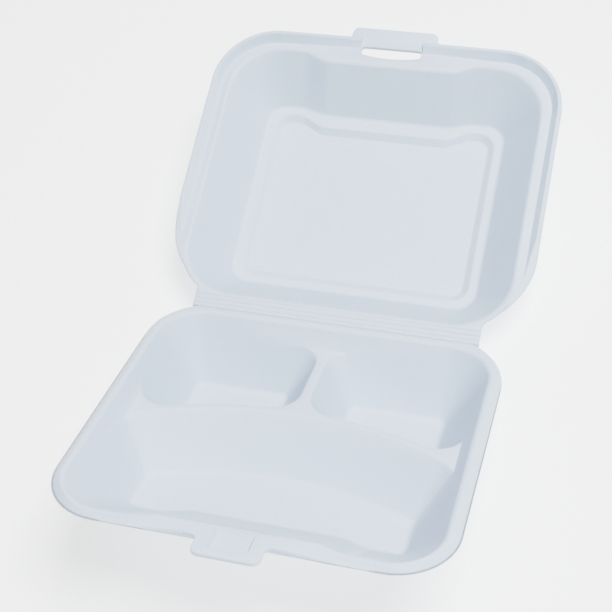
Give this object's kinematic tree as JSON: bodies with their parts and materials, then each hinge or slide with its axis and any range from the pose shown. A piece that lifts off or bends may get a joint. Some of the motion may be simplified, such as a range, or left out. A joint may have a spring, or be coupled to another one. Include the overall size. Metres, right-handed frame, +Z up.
{
  "type": "foam clamshell container",
  "caption": "Hinged foam takeaway container: a compartmented tray and a lid with a raised panel, moulded as one sheet, with a tab that latches through a slot in the lid.",
  "frame": {"origin": "centre of the resting object's box, on the surface that it lies on", "axes": "+X along the fold line, +Y from the tray towards the lid, +Z up. The open container lies back on the rear edge of its foot and on the lid's back."},
  "size_m": [0.202, 0.3462, 0.0919],
  "materials": {
    "foam": "matte expanded foam"
  },
  "bodies": {
    "base": {"tray": "foam"},
    "lid": {"lid": "foam"}
  },
  "joints": [
    {"name": "lid_hinge", "type": "hinge", "parent": "base", "child": "lid", "pos_m": [0, -0.00648, 0.0219], "axis": [1, 0, 0], "range_deg": [0, 144.4]}
  ]
}
